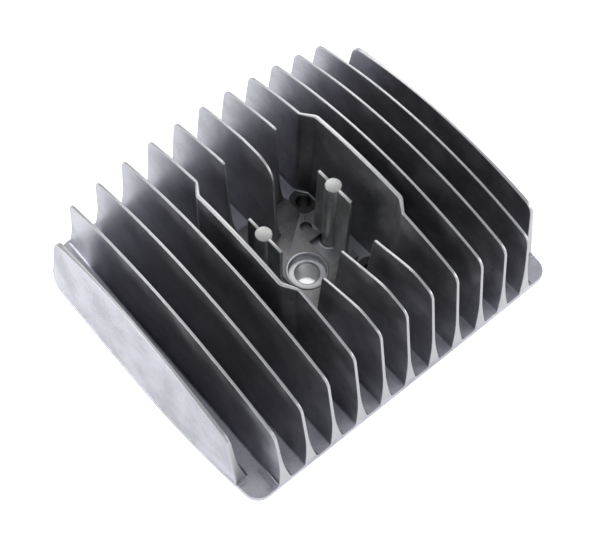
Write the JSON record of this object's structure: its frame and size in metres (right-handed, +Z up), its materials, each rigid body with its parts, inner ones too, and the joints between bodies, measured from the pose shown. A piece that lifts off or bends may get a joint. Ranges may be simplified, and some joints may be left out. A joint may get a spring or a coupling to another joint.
{
  "type": "engine cylinder head",
  "caption": "Air-cooled two-stroke cylinder head in cast aluminium with tall arched fins, a pocket in the middle with two posts, and a central spark plug hole.",
  "frame": {"origin": "centre of the gasket face, on the underside", "axes": "+X across the fins, +Y along the fins towards the rear, +Z up out of the cylinder"},
  "size_m": [0.22, 0.185, 0.0971],
  "materials": {
    "cast_aluminium": "as cast, satin",
    "machined_aluminium": "machined, bright"
  },
  "bodies": {
    "root": {"base_plate": "cast_aluminium", "deck": "cast_aluminium", "chamber_boss": "machined_aluminium", "plug_boss": "machined_aluminium", "stud_boss_front_left": "machined_aluminium", "stud_boss_front_right": "machined_aluminium", "stud_boss_rear_left": "machined_aluminium", "stud_boss_rear_right": "machined_aluminium", "fin_left_1": "cast_aluminium", "fin_left_2": "cast_aluminium", "fin_left_3": "cast_aluminium", "fin_left_4": "cast_aluminium", "pocket_wall_left": "cast_aluminium", "split_fin_left_front": "cast_aluminium", "split_fin_left_rear": "cast_aluminium", "split_fin_middle_front": "cast_aluminium", "split_fin_middle_rear": "cast_aluminium", "split_fin_right_front": "cast_aluminium", "split_fin_right_rear": "cast_aluminium", "pocket_wall_right": "cast_aluminium", "fin_right_4": "cast_aluminium", "fin_right_3": "cast_aluminium", "fin_right_2": "cast_aluminium", "fin_right_1": "cast_aluminium", "post_left": "cast_aluminium", "web_left_front": "cast_aluminium", "web_left_rear": "cast_aluminium", "post_right": "cast_aluminium", "web_right_front": "cast_aluminium", "web_right_rear": "cast_aluminium"}
  },
  "joints": []
}
